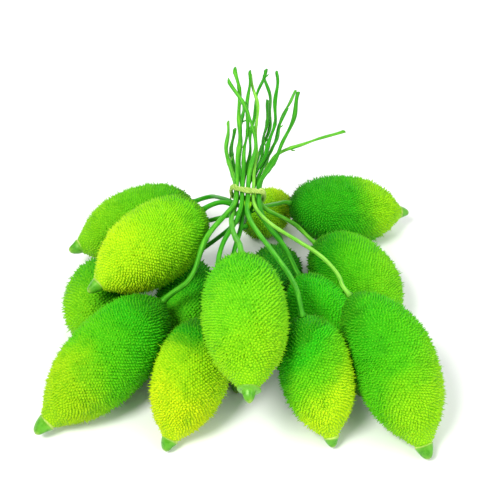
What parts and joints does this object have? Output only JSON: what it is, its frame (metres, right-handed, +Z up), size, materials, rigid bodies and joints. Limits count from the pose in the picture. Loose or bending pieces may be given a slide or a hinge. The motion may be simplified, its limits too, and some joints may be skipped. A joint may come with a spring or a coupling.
{
  "type": "teasel gourd bunch",
  "caption": "Bunch of fresh spiny teasel gourds tied together by their long green stems and laid down in a loose heap.",
  "frame": {"origin": "on the surface the bunch lies on, under the middle of its bounding box", "axes": "+Z up, +Y from the front gourds towards the cut stem ends, +X across the heap to the right"},
  "size_m": [0.2096, 0.2354, 0.1067],
  "materials": {
    "skin_green": "matte",
    "skin_yellow_green": "matte",
    "blossom_tip": "satin",
    "stem": "satin",
    "tie_fibre": "matte"
  },
  "bodies": {
    "root": {"blossom_tip_01": "blossom_tip", "blossom_tip_02": "blossom_tip", "blossom_tip_03": "blossom_tip", "blossom_tip_04": "blossom_tip", "blossom_tip_05": "blossom_tip", "blossom_tip_06": "blossom_tip", "blossom_tip_07": "blossom_tip", "blossom_tip_08": "blossom_tip", "blossom_tip_09": "blossom_tip", "blossom_tip_10": "blossom_tip", "blossom_tip_11": "blossom_tip", "blossom_tip_12": "blossom_tip", "blossom_tip_13": "blossom_tip", "blossom_tip_14": "blossom_tip", "blossom_tip_15": "blossom_tip", "gourd_01": "skin_green", "gourd_02": "skin_yellow_green", "gourd_03": "skin_yellow_green", "gourd_04": "skin_green", "gourd_05": "skin_green", "gourd_06": "skin_yellow_green", "gourd_07": "skin_green", "gourd_08": "skin_green", "gourd_09": "skin_yellow_green", "gourd_10": "skin_green", "gourd_11": "skin_green", "gourd_12": "skin_yellow_green", "gourd_13": "skin_green", "gourd_14": "skin_yellow_green", "gourd_15": "skin_green", "stem_01": "stem", "stem_02": "stem", "stem_03": "stem", "stem_04": "stem", "stem_05": "stem", "stem_06": "stem", "stem_07": "stem", "stem_08": "stem", "stem_09": "stem", "stem_10": "stem", "stem_11": "stem", "stem_12": "stem", "stem_13": "stem", "stem_14": "stem", "stem_15": "stem", "tie": "tie_fibre"}
  },
  "joints": []
}
